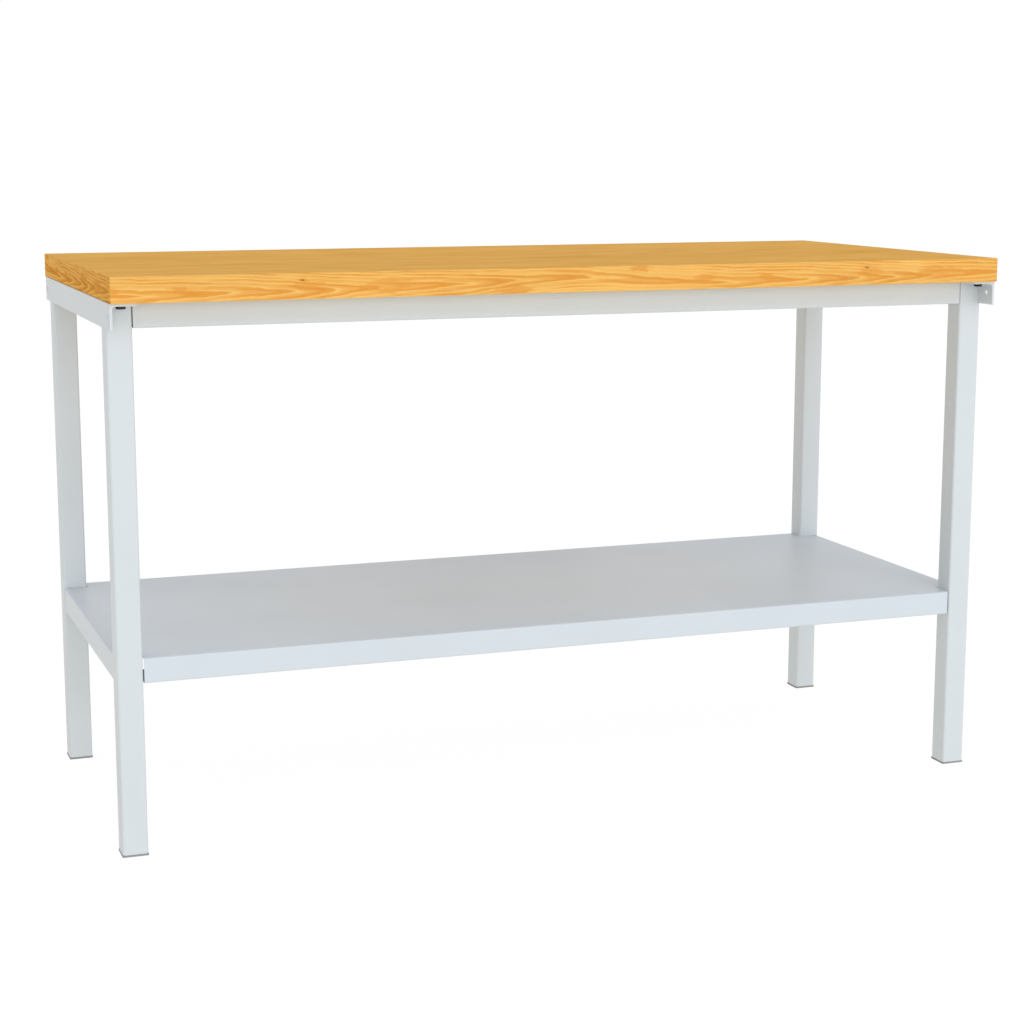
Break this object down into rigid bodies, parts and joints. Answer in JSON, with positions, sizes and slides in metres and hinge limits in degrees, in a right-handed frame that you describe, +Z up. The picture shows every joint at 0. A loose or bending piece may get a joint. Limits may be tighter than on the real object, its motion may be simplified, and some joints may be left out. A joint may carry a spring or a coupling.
{
  "type": "assembly table",
  "caption": "Workshop assembly table: solid wood top on a painted square-tube steel frame with a full-length folded sheet steel lower shelf.",
  "frame": {"origin": "on the floor under the middle of the worktop", "axes": "+X along the table's length to its right end, +Y from its front to its back, +Z up"},
  "size_m": [1.501, 0.7, 0.9],
  "materials": {
    "worktop_wood": "oiled pine, satin",
    "frame_paint": "light grey powder coat",
    "shelf_paint": "light grey powder coat",
    "foot_plastic": "moulded dark grey plastic",
    "black_steel": "black coated steel",
    "plated_steel": "zinc plated"
  },
  "bodies": {
    "root": {"worktop": "worktop_wood", "left_angle_rail": "frame_paint", "right_angle_rail": "frame_paint", "front_left_leg": "frame_paint", "front_right_leg": "frame_paint", "back_left_leg": "frame_paint", "back_right_leg": "frame_paint", "front_left_foot": "foot_plastic", "front_right_foot": "foot_plastic", "back_left_foot": "foot_plastic", "back_right_foot": "foot_plastic", "front_left_spigot": "frame_paint", "front_right_spigot": "frame_paint", "back_left_spigot": "frame_paint", "back_right_spigot": "frame_paint", "front_rail": "frame_paint", "back_rail": "frame_paint", "left_crossbar": "frame_paint", "right_crossbar": "frame_paint", "shelf": "shelf_paint", "shelf_stiffener": "shelf_paint", "worktop_screws": "black_steel", "rail_bolts": "plated_steel", "shelf_studs": "plated_steel", "shelf_nuts": "plated_steel"}
  },
  "joints": []
}
